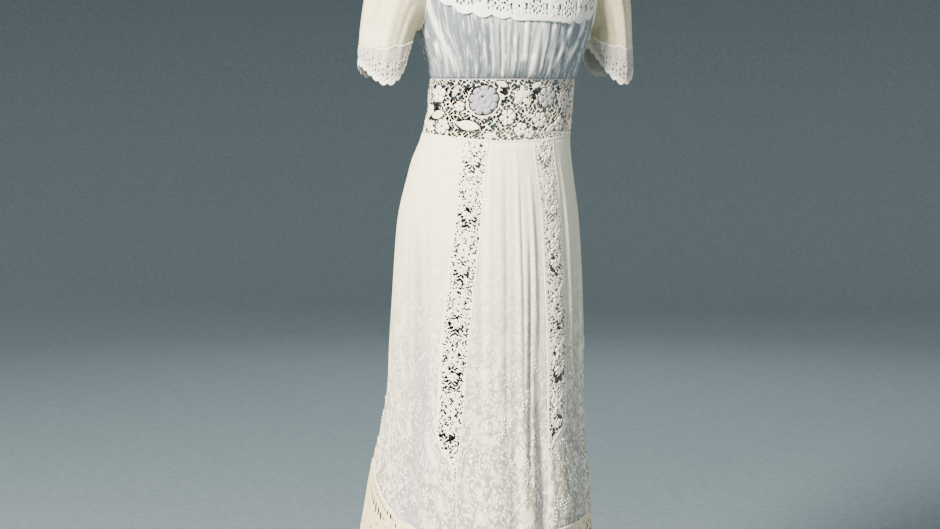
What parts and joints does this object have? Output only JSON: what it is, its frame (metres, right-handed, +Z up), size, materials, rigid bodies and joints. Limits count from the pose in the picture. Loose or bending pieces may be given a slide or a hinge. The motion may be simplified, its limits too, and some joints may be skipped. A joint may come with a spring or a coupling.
{
  "type": "lace dress",
  "caption": "Full-length white cotton dress with lace yoke, see-through gathered bodice, wide lace belt, short sleeves, lace bands down the skirt and a deep lace flounce.",
  "frame": {"origin": "between the two neck points, at the level of the shoulders that carry the dress", "axes": "+Z up; -Y is the front of the dress; +X is the wearer's left"},
  "size_m": [0.4822, 0.5784, 1.4039],
  "materials": {
    "voile": "sheer gathered white cotton voile, matte",
    "white_lace": "white cotton lace, matte",
    "belt_lace": "cream cotton lace with flowers on an open net, matte",
    "cream_cotton": "fine cream cotton with small white embroidery, matte",
    "cream_lace": "aged cream cotton lace, matte"
  },
  "bodies": {
    "root": {"bodice_front": "voile", "bodice_back_left": "voile", "bodice_back_right": "voile", "yoke_front": "white_lace", "yoke_back_left": "white_lace", "yoke_back_right": "white_lace", "sleeve_left": "cream_cotton", "sleeve_right": "cream_cotton", "cuff_left_front": "cream_lace", "cuff_left_back": "cream_lace", "cuff_right_front": "cream_lace", "cuff_right_back": "cream_lace", "belt_front": "belt_lace", "belt_back_left": "belt_lace", "belt_back_right": "belt_lace", "skirt_front": "cream_cotton", "skirt_side_left": "cream_cotton", "skirt_side_right": "cream_cotton", "skirt_back_left": "cream_cotton", "skirt_back_right": "cream_cotton", "insertion_left": "white_lace", "insertion_right": "white_lace", "flounce_front": "cream_lace", "flounce_back_left": "cream_lace", "flounce_back_right": "cream_lace"}
  },
  "joints": []
}
